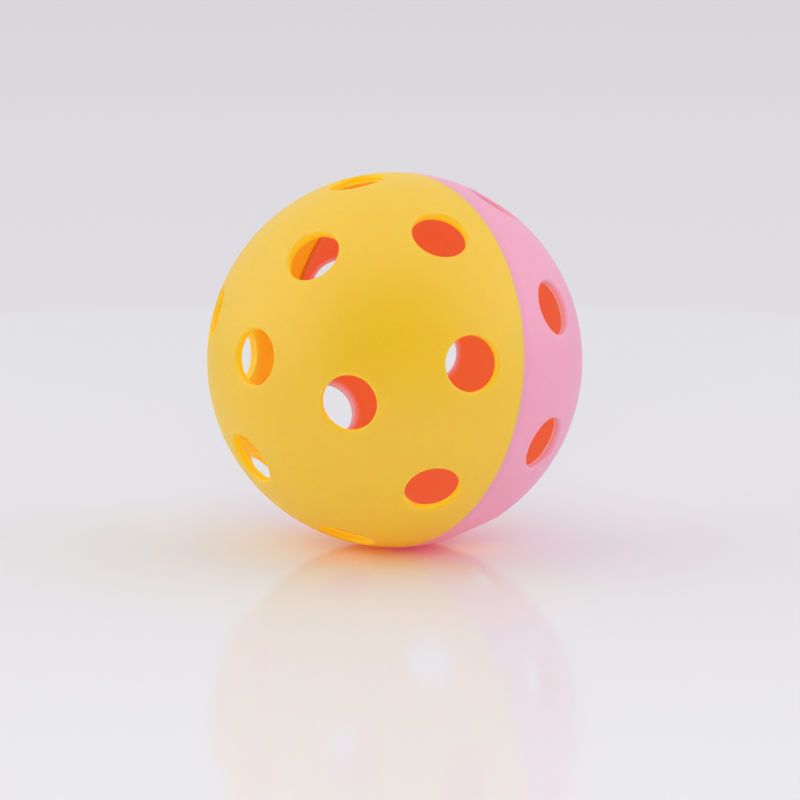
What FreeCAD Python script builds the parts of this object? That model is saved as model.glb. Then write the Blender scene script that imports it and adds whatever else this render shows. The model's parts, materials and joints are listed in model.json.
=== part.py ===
"""Pickleball for indoor play: a hollow perforated ball of two moulded half shells, welded together round the equator.

Row frame, millimetres: the origin is the ball's centre and +Z is up as the ball rests.
The moulding axis runs through the two polar holes. It lies in the XZ plane, with the yellow pole towards -X and
raised by AXIS_LEAN_DEG above the horizontal, so the ball rests on the pink half, just beside the seam.

Everything is first made in the mould frame, where +Z is the moulding axis towards the yellow pole and z = 0 is the
plane of the outer seam, and is then turned into the row frame.
"""

import FreeCAD
import Part

import math
import os

# --- the ball ---
BALL_DIAMETER = 74.0
WALL_THICKNESS = 1.65

# --- the holes: one at the pole, a ring of 4 and a ring of 8 in each half ---
BORE_DIAMETER = 10.9
OUTER_EDGE_ROUND = 0.45
INNER_EDGE_ROUND = 0.2
SMALL_RING_HOLES = 4
SMALL_RING_FROM_POLE_DEG = 36.0
LARGE_RING_HOLES = 8
LARGE_RING_FROM_POLE_DEG = 71.7

# --- the joint: a lip on the yellow half seats in a rebate inside the pink half, and a bead of melt holds its end ---
LIP_LENGTH = 2.2
LIP_THICKNESS = 0.8
JOINT_GAP = 0.05
BEAD_WIDTH = 1.2
BEAD_HEIGHT = 0.3

# --- how the ball lies, and how far each half is turned about the moulding axis ---
AXIS_LEAN_DEG = 7.5
YELLOW_TURN_DEG = 28.4
PINK_TURN_DEG = 47.3

OUTER_RADIUS = BALL_DIAMETER / 2
INNER_RADIUS = OUTER_RADIUS - WALL_THICKNESS
BORE_RADIUS = BORE_DIAMETER / 2
LIP_RADIUS = INNER_RADIUS + LIP_THICKNESS
REBATE_RADIUS = LIP_RADIUS + JOINT_GAP
REBATE_DEPTH = LIP_LENGTH + JOINT_GAP

CENTRE = FreeCAD.Vector(0, 0, 0)
Y_AXIS = FreeCAD.Vector(0, 1, 0)
Z_AXIS = FreeCAD.Vector(0, 0, 1)
YELLOW_POLE_DEG = 0.0
PINK_POLE_DEG = 180.0


def at_height(radius, z):
    """The point of a section at height z on the circle of that radius about the ball's centre."""
    return FreeCAD.Vector(math.sqrt(radius**2 - z**2), 0, z)


def line(start, end):
    return Part.LineSegment(start, end).toShape()


def arc(radius, start, end):
    """An arc about the ball's centre, between two points of a section that lie on that radius."""
    middle = (start + end).normalize() * radius
    return Part.Arc(start, middle, end).toShape()


def turned(edges):
    """The solid that a closed section makes when it is turned once round the moulding axis."""
    return Part.Face(Part.Wire(edges)).revolve(CENTRE, Z_AXIS, 360)


def yellow_cup():
    """The yellow half without its holes: a cup to the seam, and the lip that runs on inside the pink half."""
    outer_pole = FreeCAD.Vector(0, 0, OUTER_RADIUS)
    inner_pole = FreeCAD.Vector(0, 0, INNER_RADIUS)
    seam = FreeCAD.Vector(OUTER_RADIUS, 0, 0)
    lip_root = FreeCAD.Vector(LIP_RADIUS, 0, 0)
    lip_end = FreeCAD.Vector(LIP_RADIUS, 0, -LIP_LENGTH)
    lip_inside = at_height(INNER_RADIUS, -LIP_LENGTH)
    return turned([
        arc(OUTER_RADIUS, outer_pole, seam),
        line(seam, lip_root),
        line(lip_root, lip_end),
        line(lip_end, lip_inside),
        arc(INNER_RADIUS, lip_inside, inner_pole),
        line(inner_pole, outer_pole),
    ])


def pink_cup():
    """The pink half without its holes: a cup to the seam, with a rebate that takes the lip with a hairline to spare."""
    outer_pole = FreeCAD.Vector(0, 0, -OUTER_RADIUS)
    inner_pole = FreeCAD.Vector(0, 0, -INNER_RADIUS)
    seam = at_height(OUTER_RADIUS, -JOINT_GAP)
    rebate_mouth = FreeCAD.Vector(REBATE_RADIUS, 0, -JOINT_GAP)
    rebate_floor = FreeCAD.Vector(REBATE_RADIUS, 0, -REBATE_DEPTH)
    shoulder = at_height(INNER_RADIUS, -REBATE_DEPTH)
    return turned([
        arc(OUTER_RADIUS, outer_pole, seam),
        line(seam, rebate_mouth),
        line(rebate_mouth, rebate_floor),
        line(rebate_floor, shoulder),
        arc(INNER_RADIUS, shoulder, inner_pole),
        line(inner_pole, outer_pole),
    ])


def weld_bead():
    """The bead of melt inside the joint: a low rounded rib on the pink half's inner wall, up to the end of the lip."""
    upper = at_height(INNER_RADIUS, -LIP_LENGTH)
    lower = at_height(INNER_RADIUS, -LIP_LENGTH - BEAD_WIDTH)
    crest = (upper + lower).normalize() * (INNER_RADIUS - BEAD_HEIGHT)
    return turned([
        Part.Arc(upper, crest, lower).toShape(),
        arc(INNER_RADIUS, lower, upper),
    ])


def hole_directions():
    """(angle from its own pole, angle about the moulding axis) of each hole of a half, in degrees.

    Both rings start half a step round, so a hole of the small ring faces a gap in the large ring, and the section
    the half is turned from meets no hole but the polar one.
    """
    yield 0.0, 0.0
    for i in range(SMALL_RING_HOLES):
        yield SMALL_RING_FROM_POLE_DEG, (i + 0.5) * 360.0 / SMALL_RING_HOLES
    for i in range(LARGE_RING_HOLES):
        yield LARGE_RING_FROM_POLE_DEG, (i + 0.5) * 360.0 / LARGE_RING_HOLES


def drill(from_pole_deg, about_deg):
    """A cylinder that runs from the ball's centre out through the wall in that direction."""
    cutter = Part.makeCylinder(BORE_RADIUS, 2 * OUTER_RADIUS)
    cutter.rotate(CENTRE, Y_AXIS, from_pole_deg)
    cutter.rotate(CENTRE, Z_AXIS, about_deg)
    return cutter


def hole_rims(shell, radius):
    """The edges where the holes' walls meet the sphere of that radius."""
    rims = {}
    for face in shell.Faces:
        if isinstance(face.Surface, Part.Cylinder) and abs(face.Surface.Radius - BORE_RADIUS) < 0.01:
            for edge in face.Edges:
                middle = edge.valueAt((edge.FirstParameter + edge.LastParameter) / 2)
                start = edge.valueAt(edge.FirstParameter)
                if abs(middle.Length - radius) < 0.05 and abs(start.Length - radius) < 0.05:
                    rims[edge.hashCode()] = edge
    return list(rims.values())


def half_shell(cup, pole_deg, turn_deg):
    """A cup with its holes drilled and their edges rounded, turned about the moulding axis by turn_deg."""
    shell = cup.cut([drill(abs(pole_deg - tilt), about) for tilt, about in hole_directions()])
    shell = shell.makeFillet(OUTER_EDGE_ROUND, hole_rims(shell, OUTER_RADIUS))
    shell = shell.makeFillet(INNER_EDGE_ROUND, hole_rims(shell, INNER_RADIUS))
    shell.rotate(CENTRE, Z_AXIS, turn_deg)
    return shell


def laid_down(shape):
    """The shape turned from the mould frame into the row frame."""
    placed = shape.copy()
    placed.rotate(CENTRE, Y_AXIS, -(90.0 - AXIS_LEAN_DEG))
    return placed


def main():
    nodes = {
        "yellow_half_shell": half_shell(yellow_cup(), YELLOW_POLE_DEG, YELLOW_TURN_DEG),
        "pink_half_shell": half_shell(pink_cup(), PINK_POLE_DEG, PINK_TURN_DEG),
        "weld_bead": weld_bead(),
    }
    os.makedirs("parts", exist_ok=True)
    for name, shape in nodes.items():
        solids = shape.Solids
        if len(solids) != 1:
            raise ValueError(f"{name} came out as {len(solids)} solids, and it should be one")
        solid = laid_down(solids[0])
        if not solid.isValid():
            raise ValueError(f"{name} isn't a valid solid")
        solid.exportStep(f"parts/{name}.step")
        print(f"{name}: {solid.Volume:.1f} mm3, {len(solid.Faces)} faces")


main()
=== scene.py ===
"""Pickleball for indoor play: the finish of its moulded halves, the weld between them, and a small pale stage."""

import json
import math

import bmesh
import bpy
from bpy.props import FloatProperty, FloatVectorProperty
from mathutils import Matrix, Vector


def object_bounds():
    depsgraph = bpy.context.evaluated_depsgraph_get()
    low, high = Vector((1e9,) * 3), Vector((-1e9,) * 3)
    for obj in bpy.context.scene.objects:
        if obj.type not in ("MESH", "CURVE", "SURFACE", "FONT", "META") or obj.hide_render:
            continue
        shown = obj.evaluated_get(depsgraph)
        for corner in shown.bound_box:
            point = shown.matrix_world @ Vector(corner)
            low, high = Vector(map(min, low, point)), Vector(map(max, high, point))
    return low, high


bl_info = {
    "name": "Pickleball",
    "version": (1, 0, 0),
    "blender": (4, 5, 0),
    "location": "3D Viewport > Sidebar > Pickleball",
    "description": "Finishes a two-coloured perforated ball and sets it on a pale floor",
    "category": "Object",
}

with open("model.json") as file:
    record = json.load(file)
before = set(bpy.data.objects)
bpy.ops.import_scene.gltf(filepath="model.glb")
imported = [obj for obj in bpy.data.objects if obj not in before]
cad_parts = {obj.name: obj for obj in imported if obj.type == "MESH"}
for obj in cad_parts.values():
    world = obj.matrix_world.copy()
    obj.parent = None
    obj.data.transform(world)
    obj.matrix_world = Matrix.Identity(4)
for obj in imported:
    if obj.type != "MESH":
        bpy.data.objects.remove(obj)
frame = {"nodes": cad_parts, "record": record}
cad_low, cad_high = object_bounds()

# The ball's own sizes, in metres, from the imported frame.
BALL_RADIUS = (cad_high.z - cad_low.z) / 2
BORE_MOUNT = next(m for m in frame["record"]["mounts"] if m["kind"] == "bore")
BORE_RADIUS = BORE_MOUNT["dims"]["r_mm"] / 1000
YELLOW_POLE = Vector(BORE_MOUNT["axis"])

# Distances from the seam's plane, in metres: how far the halves' colours run into each other, how far the seam's
# tint reaches, where the melt ends inside, half the width of the painted highlight along its edge, and where the
# inside changes colour.
SEAM_RUN = 0.0005
SEAM_TINT_REACH = 0.0028
MELT_END = 0.00355
MELT_HIGHLIGHT_HALF_WIDTH = 0.00022
INSIDE_BY_SEAM = 0.003
INSIDE_AWAY = 0.014

# How far the glow by a hole's rim reaches inside, in metres.
RIM_GLOW_REACH = 0.0018

# The mixed colour of the run at the seam, and the painted highlight along the edge of the melt.
RUN_COLOUR = (0.90, 0.50, 0.27, 1.0)
MELT_EDGE_HIGHLIGHT_COLOUR = (0.98, 0.58, 0.50, 1.0)


# --------------------------------------------------------------------------- settings

class BallColours(bpy.types.PropertyGroup):
    """The plastics' colours."""

    yellow: FloatVectorProperty(
        name="Yellow", description="Colour of the yellow half's plastic",
        default=(0.88, 0.605, 0.012), size=3, min=0, max=1, subtype="COLOR")
    yellow_wall: FloatVectorProperty(
        name="Yellow, holes", description="Colour of the walls of the yellow half's holes",
        default=(0.97, 0.62, 0.0), size=3, min=0, max=1, subtype="COLOR")
    yellow_deep: FloatVectorProperty(
        name="Yellow, deep", description="Colour of the yellow half inside the ball, where light has passed its wall",
        default=(0.962, 0.75, 0.0), size=3, min=0, max=1, subtype="COLOR")
    pink: FloatVectorProperty(
        name="Pink", description="Colour of the pink half's plastic",
        default=(0.93, 0.40, 0.57), size=3, min=0, max=1, subtype="COLOR")
    pink_wall: FloatVectorProperty(
        name="Pink, holes", description="Colour of the walls of the pink half's holes",
        default=(0.84, 0.35, 0.48), size=3, min=0, max=1, subtype="COLOR")
    pink_deep: FloatVectorProperty(
        name="Pink, deep", description="Colour of the pink half inside the ball, where light has passed its wall",
        default=(0.948, 0.30, 0.24), size=3, min=0, max=1, subtype="COLOR")
    weld: FloatVectorProperty(
        name="Weld", description="Colour of the melt along the joint inside",
        default=(0.92, 0.27, 0.12), size=3, min=0, max=1, subtype="COLOR")


class BallFinish(bpy.types.PropertyGroup):
    """The plastics' surface."""

    roughness: FloatProperty(
        name="Roughness", description="How far the moulded skin spreads a reflection",
        default=0.42, min=0, max=1, subtype="FACTOR")
    grain_size: FloatProperty(
        name="Grain size", description="Width of one grain of the moulded skin",
        default=0.00045, min=0.00005, max=0.005, unit="LENGTH")
    grain_depth: FloatProperty(
        name="Grain depth", description="Height of the grain of the moulded skin",
        default=0.000006, min=0, max=0.0005, unit="LENGTH")
    light_depth: FloatProperty(
        name="Light depth", description="How far light travels in the plastic before it is scattered",
        default=0.002, min=0, max=0.02, unit="LENGTH")


class StageSettings(bpy.types.PropertyGroup):
    """The floor, the light and the camera."""

    floor: FloatVectorProperty(
        name="Floor", description="Colour of the floor round the ball",
        default=(0.885, 0.882, 0.915), size=3, min=0, max=1, subtype="COLOR")
    floor_far: FloatVectorProperty(
        name="Far floor", description="Colour of the floor away from the ball",
        default=(0.852, 0.832, 0.872), size=3, min=0, max=1, subtype="COLOR")
    floor_edge: FloatProperty(
        name="Edge of the near floor", description="How far from the ball the floor's tone changes",
        default=0.289, min=0.05, max=2, unit="LENGTH")
    floor_radius: FloatProperty(
        name="Floor radius", description="How far the floor reaches",
        default=6.0, min=1, max=50, unit="LENGTH")
    sky: FloatProperty(
        name="Surround", description="Brightness of the surround beside the ball",
        default=1.26, min=0, max=10)
    sky_front: FloatProperty(
        name="Front of the surround", description="Brightness of the surround on the viewer's side",
        default=0.05, min=0, max=10)
    sky_back: FloatProperty(
        name="Back of the surround", description="Brightness of the surround behind the ball",
        default=0.78, min=0, max=10)
    sky_top: FloatProperty(
        name="Top of the surround", description="Share of the surround's brightness that is left overhead",
        default=0.70, min=0, max=10)
    softbox: FloatProperty(
        name="Softbox", description="Power of the overhead softbox",
        default=0.2, min=0, max=500, unit="POWER")
    fill: FloatProperty(
        name="Fill", description="Power of the fill light on the viewer's side",
        default=4.6, min=0, max=500, unit="POWER")
    azimuth: FloatProperty(
        name="Azimuth", description="Turn of the camera about the ball",
        default=math.radians(-41.75), subtype="ANGLE")
    elevation: FloatProperty(
        name="Elevation", description="Height of the camera above the horizontal",
        default=math.radians(10.0), subtype="ANGLE")
    distance: FloatProperty(
        name="Distance", description="From the camera to the ball's centre",
        default=1.0878, min=0.1, max=20, unit="LENGTH")
    lens: FloatProperty(
        name="Lens", description="Focal length on a 36 mm sensor",
        default=248.2, min=10, max=1000)
    shift: FloatVectorProperty(
        name="Shift", description="Sideways and upward shift of the picture",
        default=(0.0067, -0.0502), size=2)


# --------------------------------------------------------------------------- node helpers

def put(tree, kind, inputs=(), **values):
    """Adds a node. inputs is (socket, value or output socket) pairs; values are the node's own settings."""
    node = tree.nodes.new(kind)
    for name, value in values.items():
        setattr(node, name, value)
    for socket, value in inputs:
        target = node.inputs[socket]
        if isinstance(value, bpy.types.NodeSocket):
            tree.links.new(value, target)
        else:
            target.default_value = value
    return node


def calc(tree, operation, *values):
    """The output of a Math node."""
    return put(tree, "ShaderNodeMath", enumerate(values), operation=operation).outputs[0]


def span(tree, value, low, high, to_low=0.0, to_high=1.0, smooth=True):
    """The output of a Map Range node: value, from low..high, smoothly to to_low..to_high."""
    kind = "SMOOTHSTEP" if smooth else "LINEAR"
    return put(tree, "ShaderNodeMapRange", (
        ("Value", value), ("From Min", low), ("From Max", high), ("To Min", to_low), ("To Max", to_high),
    ), interpolation_type=kind).outputs["Result"]


def blend(tree, mask, first, second):
    """The colour output of a Mix node."""
    node = put(tree, "ShaderNodeMix", data_type="RGBA")
    for socket, value in ((0, mask), (6, first), (7, second)):
        if isinstance(value, bpy.types.NodeSocket):
            tree.links.new(value, node.inputs[socket])
        else:
            node.inputs[socket].default_value = value
    return node.outputs[2]


def new_group(name, inputs, outputs):
    """A shader node group. inputs is (name, socket kind, default) and outputs is (name, socket kind)."""
    group = bpy.data.node_groups.new(name, "ShaderNodeTree")
    for socket, kind, default in inputs:
        made = group.interface.new_socket(name=socket, in_out="INPUT", socket_type=kind)
        if default is not None:
            made.default_value = default
    for socket, kind in outputs:
        group.interface.new_socket(name=socket, in_out="OUTPUT", socket_type=kind)
    return group, group.nodes.new("NodeGroupInput"), group.nodes.new("NodeGroupOutput")


def use_group(tree, name, inputs=()):
    """Places a node group in a material."""
    node = tree.nodes.new("ShaderNodeGroup")
    node.node_tree = bpy.data.node_groups[name]
    for socket, value in inputs:
        if isinstance(value, bpy.types.NodeSocket):
            tree.links.new(value, node.inputs[socket])
        else:
            node.inputs[socket].default_value = value
    return node


def opaque(colour):
    return (*colour, 1.0)


# --------------------------------------------------------------------------- shared effects

def make_wall_place():
    """Group "Wall place": where a point of the shell lies, between the outside and the inside, and from the seam."""
    group, inlet, outlet = new_group(
        "Wall place",
        [("Position", "NodeSocketVector", None)],
        [("Inside", "NodeSocketFloat"), ("Wall", "NodeSocketFloat"), ("From seam", "NodeSocketFloat")])
    radius = put(group, "ShaderNodeVectorMath", ((0, inlet.outputs["Position"]),),
                 operation="LENGTH").outputs["Value"]
    inside = span(group, radius, BALL_RADIUS - 0.0010, BALL_RADIUS - 0.0016)
    wall = span(group, radius, BALL_RADIUS - 0.0001, BALL_RADIUS - 0.0012)
    along = put(group, "ShaderNodeVectorMath", ((0, inlet.outputs["Position"]), (1, YELLOW_POLE)),
                operation="DOT_PRODUCT").outputs["Value"]
    group.links.new(inside, outlet.inputs["Inside"])
    group.links.new(wall, outlet.inputs["Wall"])
    group.links.new(along, outlet.inputs["From seam"])


def make_moulded_skin():
    """Group "Moulded skin": the grain's height, the slow change of tone, and specks and scuffs, as masks."""
    group, inlet, outlet = new_group(
        "Moulded skin",
        [("Position", "NodeSocketVector", None), ("Grain size", "NodeSocketFloat", 0.0005)],
        [("Height", "NodeSocketFloat"), ("Tone", "NodeSocketFloat"), ("Specks", "NodeSocketFloat"),
         ("Scuffs", "NodeSocketFloat")])
    place = inlet.outputs["Position"]
    scale = calc(group, "DIVIDE", 1.0, inlet.outputs["Grain size"])
    grain = put(group, "ShaderNodeTexNoise", (("Vector", place), ("Scale", scale), ("Detail", 3.0),
                                              ("Roughness", 0.55)))
    dimples = put(group, "ShaderNodeTexNoise", (("Vector", place), ("Scale", 130.0), ("Detail", 2.0)))
    height = calc(group, "MULTIPLY_ADD", dimples.outputs["Fac"], 2.0, grain.outputs["Fac"])
    tone = put(group, "ShaderNodeTexNoise", (("Vector", place), ("Scale", 38.0), ("Detail", 4.0), ("Roughness", 0.6),
                                             ("Distortion", 0.8)))
    cells = put(group, "ShaderNodeTexVoronoi", (("Vector", place), ("Scale", 105.0)))
    spot = span(group, cells.outputs["Distance"], 0.030, 0.012)
    chosen = put(group, "ShaderNodeSeparateColor", ((0, cells.outputs["Color"]),)).outputs[0]
    specks = calc(group, "MULTIPLY", spot, span(group, chosen, 0.72, 0.80))
    streak = put(group, "ShaderNodeMapping", (("Vector", place), ("Rotation", (0.5, 0.9, 0.3)),
                                              ("Scale", (1.0, 9.0, 1.0))))
    marks = put(group, "ShaderNodeTexNoise", (("Vector", streak.outputs[0]), ("Scale", 260.0), ("Detail", 3.0)))
    where = put(group, "ShaderNodeTexNoise", (("Vector", place), ("Scale", 70.0), ("Detail", 1.0)))
    scuffs = calc(group, "MULTIPLY", span(group, marks.outputs["Fac"], 0.60, 0.70),
                  span(group, where.outputs["Fac"], 0.55, 0.68))
    for name, value in (("Height", height), ("Tone", tone.outputs["Fac"]), ("Specks", specks), ("Scuffs", scuffs)):
        group.links.new(value, outlet.inputs[name])


def hole_directions(half):
    """From the ball's centre through each hole of one half, from the record's openings and its polar bore."""
    openings = frame["record"]["physics"]["openings"]
    boxes = [opening["box_m"] for opening in openings if opening["name"].startswith(half)]
    directions = [(Vector(low) + Vector(high)).normalized() for low, high in boxes]
    return [YELLOW_POLE if half == "yellow" else -YELLOW_POLE, *directions]


def make_hole_place(half):
    """Group "Yellow holes" or "Pink holes": how far a point of the shell lies from the rim of its nearest hole."""
    group, inlet, outlet = new_group(
        f"{half.capitalize()} holes",
        [("Position", "NodeSocketVector", None)],
        [("From rim", "NodeSocketFloat")])
    outward = put(group, "ShaderNodeVectorMath", ((0, inlet.outputs["Position"]),), operation="NORMALIZE").outputs[0]
    nearest = None
    for direction in hole_directions(half):
        along = put(group, "ShaderNodeVectorMath", ((0, outward), (1, direction)),
                    operation="DOT_PRODUCT").outputs["Value"]
        nearest = along if nearest is None else calc(group, "MAXIMUM", nearest, along)
    angle = calc(group, "ARCCOSINE", nearest)
    distance = calc(group, "MULTIPLY_ADD", angle, BALL_RADIUS, -BORE_RADIUS)
    group.links.new(distance, outlet.inputs["From rim"])


SHARED_EFFECTS = {
    "Wall place": make_wall_place,
    "Moulded skin": make_moulded_skin,
    "Yellow holes": lambda: make_hole_place("yellow"),
    "Pink holes": lambda: make_hole_place("pink"),
}


def need_effects():
    """Builds each shared effect once."""
    for name, make in SHARED_EFFECTS.items():
        if name not in bpy.data.node_groups:
            make()


# --------------------------------------------------------------------------- materials

def fresh_material(name):
    material = bpy.data.materials.new(name)
    material.use_nodes = True
    material.node_tree.nodes.clear()
    return material, material.node_tree


def moulded_half(name, half, skin, hole, deep, seam_tint, radius, glows, finish):
    """The plastic of one half: translucent, with a satin moulded skin outside and a deeper colour inside, painted for
    the light that has passed its wall.

    glows are the light that comes through the plastic: outside, at a hole's mouth, down its wall, inside the ball
    by the seam and away from it, and inside by a hole's rim.
    """
    need_effects()
    material, tree = fresh_material(name)
    place = put(tree, "ShaderNodeTexCoord").outputs["Object"]
    wall = use_group(tree, "Wall place", (("Position", place),))
    texture = use_group(tree, "Moulded skin", (("Position", place), ("Grain size", finish.grain_size)))

    colour = blend(tree, span(tree, texture.outputs["Tone"], 0.35, 0.7), opaque(Vector(skin) * 0.975), opaque(skin))
    beside_seam = calc(tree, "ABSOLUTE", wall.outputs["From seam"])
    near_seam = span(tree, beside_seam, SEAM_TINT_REACH, 0.0)
    colour = blend(tree, calc(tree, "MULTIPLY", near_seam, 0.35), colour, opaque(seam_tint))
    run = span(tree, beside_seam, SEAM_RUN, 0.0)
    colour = blend(tree, calc(tree, "MULTIPLY", run, 0.5), colour, RUN_COLOUR)
    colour = blend(tree, wall.outputs["Wall"], colour, opaque(hole))
    # Painted light: the inside takes the deep colour of light that has passed the wall.
    colour = blend(tree, wall.outputs["Inside"], colour, opaque(deep))
    # Painted highlight: a pale line inside along the end of the melt, where an edge would catch the light.
    from_melt = calc(tree, "ABSOLUTE", calc(tree, "ADD", wall.outputs["From seam"], MELT_END))
    melt_edge_highlight = calc(tree, "MULTIPLY", span(tree, from_melt, MELT_HIGHLIGHT_HALF_WIDTH, 0.0), wall.outputs["Inside"])
    colour = blend(tree, calc(tree, "MULTIPLY", melt_edge_highlight, 0.8), colour, MELT_EDGE_HIGHLIGHT_COLOUR)
    specks = calc(tree, "MULTIPLY", texture.outputs["Specks"], 0.35)
    colour = blend(tree, specks, colour, opaque(Vector(skin) * 0.55))

    holes = use_group(tree, f"{half.capitalize()} holes", (("Position", place),))
    by_rim = span(tree, holes.outputs["From rim"], RIM_GLOW_REACH, 0.0)
    outside, mouth, hole_wall, inside_seam, inside_far, inside_rim = map(opaque, glows)
    away = span(tree, beside_seam, INSIDE_BY_SEAM, INSIDE_AWAY)
    inside = blend(tree, away, inside_seam, inside_far)
    down = span(tree, wall.outputs["Wall"], 0.35, 1.0)
    glow = blend(tree, span(tree, wall.outputs["Wall"], 0.0, 0.35), outside, blend(tree, down, mouth, hole_wall))
    glow = blend(tree, wall.outputs["Inside"], glow, blend(tree, by_rim, inside, inside_rim))

    rough = calc(tree, "MULTIPLY_ADD", texture.outputs["Scuffs"], 0.14, finish.roughness)
    rough = calc(tree, "MULTIPLY_ADD", texture.outputs["Tone"], 0.06, rough)
    bump = put(tree, "ShaderNodeBump", (("Strength", 1.0), ("Distance", finish.grain_depth),
                                        ("Height", texture.outputs["Height"])))
    shader = put(tree, "ShaderNodeBsdfPrincipled", (
        ("Base Color", colour), ("Roughness", rough), ("IOR", 1.5), ("Specular IOR Level", 0.9),
        ("Subsurface Weight", 1.0), ("Subsurface Radius", radius), ("Subsurface Scale", finish.light_depth),
        ("Emission Color", glow), ("Emission Strength", 1.0),
        ("Normal", bump.outputs["Normal"])))
    output = put(tree, "ShaderNodeOutputMaterial")
    tree.links.new(shader.outputs["BSDF"], output.inputs["Surface"])
    return material


def weld_melt(name, colour, finish):
    """The dull melt squeezed out along the joint: mixed colour, ripples across, pits, and a painted red glow for
    light passing through it.
    """
    need_effects()
    material, tree = fresh_material(name)
    place = put(tree, "ShaderNodeTexCoord").outputs["Object"]
    texture = use_group(tree, "Moulded skin", (("Position", place), ("Grain size", 0.0009)))
    shade = blend(tree, texture.outputs["Tone"], opaque(Vector(colour) * 0.8), opaque(colour))
    bump = put(tree, "ShaderNodeBump", (("Strength", 1.0), ("Distance", 0.00005),
                                        ("Height", texture.outputs["Height"])))
    shader = put(tree, "ShaderNodeBsdfPrincipled", (
        # The emission is a painted red glow, for light that passes through the melt.
        ("Base Color", shade), ("Roughness", 0.6), ("IOR", 1.5),
        ("Subsurface Weight", 1.0), ("Subsurface Radius", (1.0, 0.3, 0.2)), ("Subsurface Scale", finish.light_depth),
        ("Emission Color", (0.12, 0.012, 0.0, 1.0)), ("Emission Strength", 1.0),
        ("Normal", bump.outputs["Normal"])))
    output = put(tree, "ShaderNodeOutputMaterial")
    tree.links.new(shader.outputs["BSDF"], output.inputs["Surface"])
    return material


def dress(node, material):
    """Gives a CAD node its finish."""
    slots = frame["nodes"][node].material_slots
    if not slots:
        raise RuntimeError(f"{node} has no material slot")
    for slot in slots:
        slot.material = material


# --------------------------------------------------------------------------- operators

class PICKLEBALL_OT_yellow_half(bpy.types.Operator):
    """Finish the yellow half shell as satin translucent plastic"""
    bl_idname = "pickleball.yellow_half"
    bl_label = "Finish the Yellow Half"

    def execute(self, context):
        colours, finish = context.scene.ball_colours, context.scene.ball_finish
        glows = ((0.06, 0.05, 0.0), (0.14, 0.17, 0.0), (0.21, 0.10, 0.0),
                 (0.105, 0.05, 0.0), (0.09, 0.165, 0.0), (0.07, 0.16, 0.02))
        material = moulded_half("yellow_plastic", "yellow", colours.yellow, colours.yellow_wall, colours.yellow_deep,
                                colours.yellow,
                                (1.0, 0.30, 0.06), glows, finish)
        dress("yellow_half_shell", material)
        return {"FINISHED"}


class PICKLEBALL_OT_pink_half(bpy.types.Operator):
    """Finish the pink half shell as satin translucent plastic"""
    bl_idname = "pickleball.pink_half"
    bl_label = "Finish the Pink Half"

    def execute(self, context):
        colours, finish = context.scene.ball_colours, context.scene.ball_finish
        inside = (0.026, 0.004, 0.0)
        glows = ((0.02, 0.03, 0.035), (0.03, 0.07, 0.09), (0.0, 0.02, 0.03),
                 inside, inside, (0.02, 0.15, 0.22))
        material = moulded_half("pink_plastic", "pink", colours.pink, colours.pink_wall, colours.pink_deep,
                                (0.80, 0.28, 0.50),
                                (1.0, 0.25, 0.30), glows, finish)
        dress("pink_half_shell", material)
        return {"FINISHED"}


class PICKLEBALL_OT_weld_bead(bpy.types.Operator):
    """Finish the bead of melt along the joint inside the ball"""
    bl_idname = "pickleball.weld_bead"
    bl_label = "Finish the Weld Bead"

    def execute(self, context):
        dress("weld_bead", weld_melt("weld_melt", context.scene.ball_colours.weld, context.scene.ball_finish))
        return {"FINISHED"}


def floor_material(stage):
    """A pale polished floor, a little darker beyond its near part, with painted shade under the ball and warm light
    spilt round the contact.
    """
    material, tree = fresh_material("pale_floor")
    place = put(tree, "ShaderNodeTexCoord").outputs["Object"]
    flat = put(tree, "ShaderNodeVectorMath", ((0, place), (1, (1.0, 1.0, 0.0))), operation="MULTIPLY").outputs[0]
    reach = put(tree, "ShaderNodeVectorMath", ((0, flat),), operation="LENGTH").outputs["Value"]
    far = span(tree, reach, stage.floor_edge - 0.008, stage.floor_edge + 0.012)
    colour = blend(tree, far, opaque(stage.floor), opaque(stage.floor_far))
    # Painted shade: within 28 mm of the contact the floor's colour turns darker and warmer, as a contact shadow with
    # warm bounce.
    painted_contact_shade = span(tree, reach, 0.028, 0.004)
    colour = blend(tree, painted_contact_shade, colour, (0.88, 0.72, 0.66, 1.0))
    # The floor turns darker and more lilac from the edge of the near floor out to 1.2 m.
    darker_far_off = span(tree, reach, stage.floor_edge, 1.2)
    colour = blend(tree, darker_far_off, colour, opaque(Vector(stage.floor_far) * Vector((0.92, 0.89, 0.91))))
    near = span(tree, reach, 0.044, 0.006)
    under = span(tree, reach, 0.004, 0.020)
    side = span(tree, put(tree, "ShaderNodeSeparateXYZ", ((0, place),)).outputs["X"], -0.020, 0.020)
    warm = blend(tree, side, (0.11, 0.035, 0.0, 1.0), (0.10, 0.015, 0.02, 1.0))
    hot = blend(tree, under, (0.095, 0.0, 0.0, 1.0), warm)
    glow = blend(tree, near, (0.0, 0.0, 0.0, 1.0), hot)
    shader = put(tree, "ShaderNodeBsdfPrincipled", (
        ("Base Color", colour), ("Roughness", 0.10), ("IOR", 1.45), ("Specular IOR Level", 0.085),
        ("Emission Color", glow), ("Emission Strength", 1.0)))
    output = put(tree, "ShaderNodeOutputMaterial")
    tree.links.new(shader.outputs["BSDF"], output.inputs["Surface"])
    return material


def link_object(name, data):
    made = bpy.data.objects.new(name, data)
    bpy.context.scene.collection.objects.link(made)
    return made


def viewing_direction(stage):
    """From the ball towards the camera."""
    flat = math.cos(stage.elevation)
    return Vector((math.sin(stage.azimuth) * flat, -math.cos(stage.azimuth) * flat, math.sin(stage.elevation)))


def make_floor(stage):
    shape = bmesh.new()
    bmesh.ops.create_circle(shape, cap_ends=True, segments=96, radius=stage.floor_radius)
    bmesh.ops.translate(shape, verts=shape.verts, vec=(0, 0, cad_low.z))
    mesh = bpy.data.meshes.new("floor")
    shape.to_mesh(mesh)
    shape.free()
    floor = link_object("floor", mesh)
    mesh.materials.append(floor_material(stage))


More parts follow.
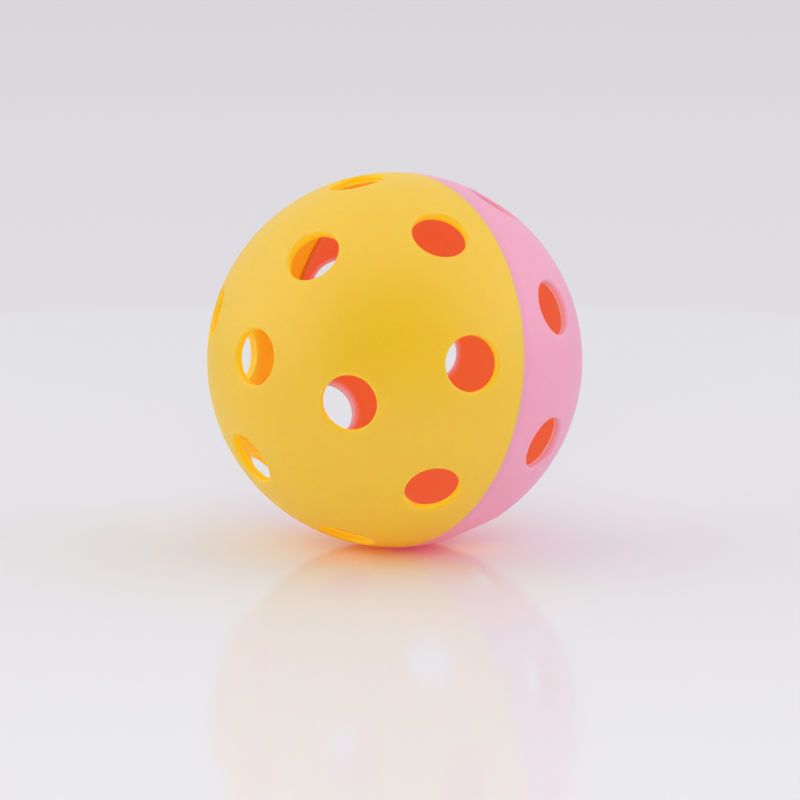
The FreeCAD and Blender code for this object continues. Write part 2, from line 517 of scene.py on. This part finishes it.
def make_surround(stage):
    """The pale surround: bright at the sides, less so overhead and behind the ball, dim on the viewer's side."""
    world = bpy.data.worlds.new("pale_surround")
    bpy.context.scene.world = world
    world.use_nodes = True
    tree = world.node_tree
    tree.nodes.clear()
    direction = put(tree, "ShaderNodeTexCoord").outputs["Generated"]
    towards = viewing_direction(stage)
    facing = put(tree, "ShaderNodeVectorMath", ((0, direction), (1, towards)),
                 operation="DOT_PRODUCT").outputs["Value"]
    front = span(tree, facing, math.cos(math.radians(66)), math.cos(math.radians(26)))
    behind = span(tree, facing, math.cos(math.radians(92)), math.cos(math.radians(145)))
    light = span(tree, behind, 0.0, 1.0, stage.sky, stage.sky_back, smooth=False)
    height = put(tree, "ShaderNodeSeparateXYZ", ((0, direction),)).outputs["Z"]
    light = calc(tree, "MULTIPLY", light, span(tree, height, 0.50, 0.92, 1.0, stage.sky_top))
    light = put(tree, "ShaderNodeMix", ((0, front), (2, light), (3, stage.sky_front)), data_type="FLOAT").outputs[0]
    seen = put(tree, "ShaderNodeLightPath").outputs["Is Camera Ray"]
    strength = put(tree, "ShaderNodeMix", ((0, seen), (2, light), (3, 0.72)), data_type="FLOAT").outputs[0]
    background = put(tree, "ShaderNodeBackground", (("Color", (0.985, 0.975, 1.0, 1.0)), ("Strength", strength)))
    output = put(tree, "ShaderNodeOutputWorld")
    tree.links.new(background.outputs[0], output.inputs["Surface"])


def make_softbox(name, energy, size, place):
    """A round softbox that faces the ball."""
    data = bpy.data.lights.new(name, "AREA")
    data.shape = "DISK"
    data.size = size
    data.energy = energy
    lamp = link_object(name, data)
    lamp.location = place
    lamp.rotation_mode = "QUATERNION"
    lamp.rotation_quaternion = place.to_track_quat("Z", "Y")
    return lamp


def make_lights(stage):
    """A softbox overhead, and a fill on the viewer's side that shows in no reflection."""
    make_softbox("overhead_softbox", stage.softbox, 0.9, Vector((-0.15, -0.05, 0.95)))
    towards = viewing_direction(stage)
    fill = make_softbox("front_fill", stage.fill, 1.0, Vector((towards.x, towards.y, 0.40)) * 1.15)
    fill.visible_glossy = False


def make_camera(stage):
    data = bpy.data.cameras.new("camera")
    data.sensor_width = 36.0
    data.lens = stage.lens
    data.shift_x, data.shift_y = stage.shift
    data.clip_start, data.clip_end = 0.05, 20.0
    camera = link_object("camera", data)
    towards = viewing_direction(stage)
    camera.location = towards * stage.distance
    camera.rotation_mode = "QUATERNION"
    camera.rotation_quaternion = towards.to_track_quat("Z", "Y")
    bpy.context.scene.camera = camera


class PICKLEBALL_OT_stage(bpy.types.Operator):
    """Set the camera, the pale floor, the surround and the two lights"""
    bl_idname = "pickleball.stage"
    bl_label = "Set the Stage"

    def execute(self, context):
        stage = context.scene.ball_stage
        make_camera(stage)
        make_floor(stage)
        make_surround(stage)
        make_lights(stage)
        context.scene.view_settings.view_transform = "Standard"
        context.scene.cycles.max_bounces = 32
        context.scene.cycles.diffuse_bounces = 24
        return {"FINISHED"}


class PICKLEBALL_PT_panel(bpy.types.Panel):
    """Lists the ball's operators"""
    bl_idname = "PICKLEBALL_PT_panel"
    bl_label = "Pickleball"
    bl_space_type = "VIEW_3D"
    bl_region_type = "UI"
    bl_category = "Pickleball"

    def draw(self, context):
        for group in (context.scene.ball_colours, context.scene.ball_finish, context.scene.ball_stage):
            box = self.layout.box()
            for name in group.__annotations__:
                box.prop(group, name)
        for operator in OPERATORS:
            self.layout.operator(operator.bl_idname)


OPERATORS = (PICKLEBALL_OT_stage, PICKLEBALL_OT_yellow_half, PICKLEBALL_OT_pink_half, PICKLEBALL_OT_weld_bead)
SETTINGS = {"ball_colours": BallColours, "ball_finish": BallFinish, "ball_stage": StageSettings}


def register():
    for group in SETTINGS.values():
        bpy.utils.register_class(group)
    for name, group in SETTINGS.items():
        setattr(bpy.types.Scene, name, bpy.props.PointerProperty(type=group))
    for operator in OPERATORS:
        bpy.utils.register_class(operator)
    bpy.utils.register_class(PICKLEBALL_PT_panel)


def unregister():
    bpy.utils.unregister_class(PICKLEBALL_PT_panel)
    for operator in reversed(OPERATORS):
        bpy.utils.unregister_class(operator)
    for name, group in reversed(SETTINGS.items()):
        delattr(bpy.types.Scene, name)
        bpy.utils.unregister_class(group)


def main():
    register()
    bpy.ops.pickleball.stage()
    bpy.ops.pickleball.yellow_half()
    bpy.ops.pickleball.pink_half()
    bpy.ops.pickleball.weld_bead()


if __name__ == "__main__":
    main()
